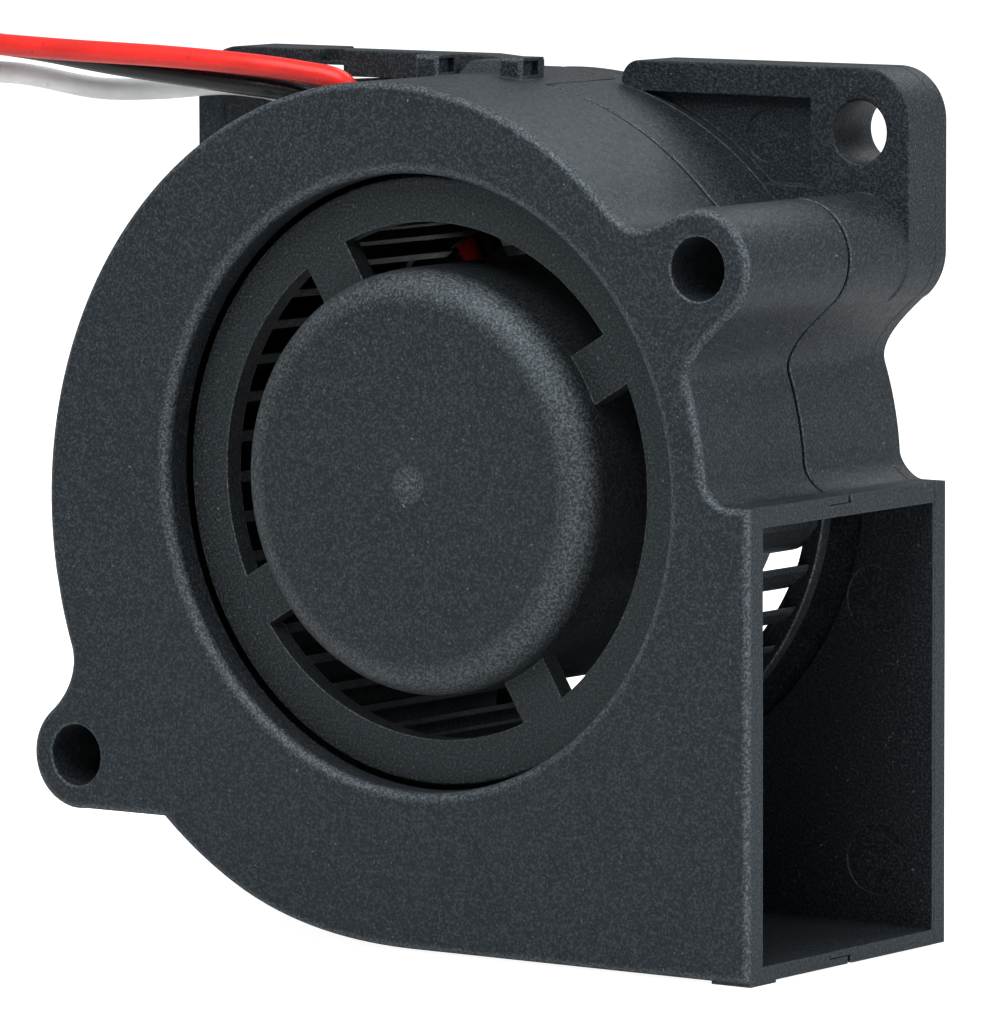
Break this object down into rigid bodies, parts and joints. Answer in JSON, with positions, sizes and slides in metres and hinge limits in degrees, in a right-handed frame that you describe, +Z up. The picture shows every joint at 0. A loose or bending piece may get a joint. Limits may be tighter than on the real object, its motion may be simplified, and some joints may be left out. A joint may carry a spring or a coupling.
{
  "type": "centrifugal blower fan",
  "caption": "Small centrifugal blower fan: scroll housing with square outlet and mounting flange, slotted impeller on an outer-rotor motor, lead wires.",
  "frame": {"origin": "on the impeller's axis, at the rear mounting face", "axes": "+Y out of the rear mounting face along the impeller's axis, so the front faces -Y; +X out of the outlet; +Z up"},
  "size_m": [0.0713, 0.0203, 0.0503],
  "materials": {
    "housing_plastic": "fine moulded grain, glass-filled",
    "impeller_plastic": "fine moulded grain, slightly smoother than the housing",
    "bobbin_plastic": "natural nylon",
    "steel": "ground",
    "laminated_steel": "stamped, oiled",
    "magnet": "bonded ferrite",
    "brass": "turned",
    "copper_winding": "enamelled copper wire",
    "tinned_copper": "tinned strands",
    "circuit_board": "solder mask",
    "chip_black": "moulded epoxy",
    "ceramic": "fired ceramic",
    "red_pvc": "extruded insulation",
    "black_pvc": "extruded insulation",
    "white_pvc": "extruded insulation"
  },
  "bodies": {
    "housing": {"front_cover": "housing_plastic", "rear_housing": "housing_plastic", "bearing_tube": "brass", "rear_bearing_outer_race": "steel", "rear_bearing_ball_cage": "brass", "front_bearing_outer_race": "steel", "front_bearing_ball_cage": "brass", "preload_spring": "steel", "stator_core": "laminated_steel", "front_insulator": "bobbin_plastic", "rear_insulator": "bobbin_plastic", "coil_1": "copper_winding", "coil_2": "copper_winding", "coil_3": "copper_winding", "coil_4": "copper_winding", "circuit_board": "circuit_board", "hall_sensor": "chip_black", "driver_ic": "chip_black", "capacitor": "ceramic", "resistor": "chip_black", "red_lead": "red_pvc", "red_lead_core": "tinned_copper", "black_lead": "black_pvc", "black_lead_core": "tinned_copper", "white_lead": "white_pvc", "white_lead_core": "tinned_copper"},
    "rotor": {"impeller": "impeller_plastic", "rotor_yoke": "steel", "rotor_magnet": "magnet", "shaft": "steel", "shaft_bush": "brass", "retaining_clip": "steel", "thrust_washer": "bobbin_plastic", "rear_bearing_inner_race": "steel", "front_bearing_inner_race": "steel"}
  },
  "joints": [
    {"name": "impeller_spin", "type": "hinge", "parent": "housing", "child": "rotor", "pos_m": [0, 0, 0], "axis": [0, -1, 0], "continuous": true}
  ]
}
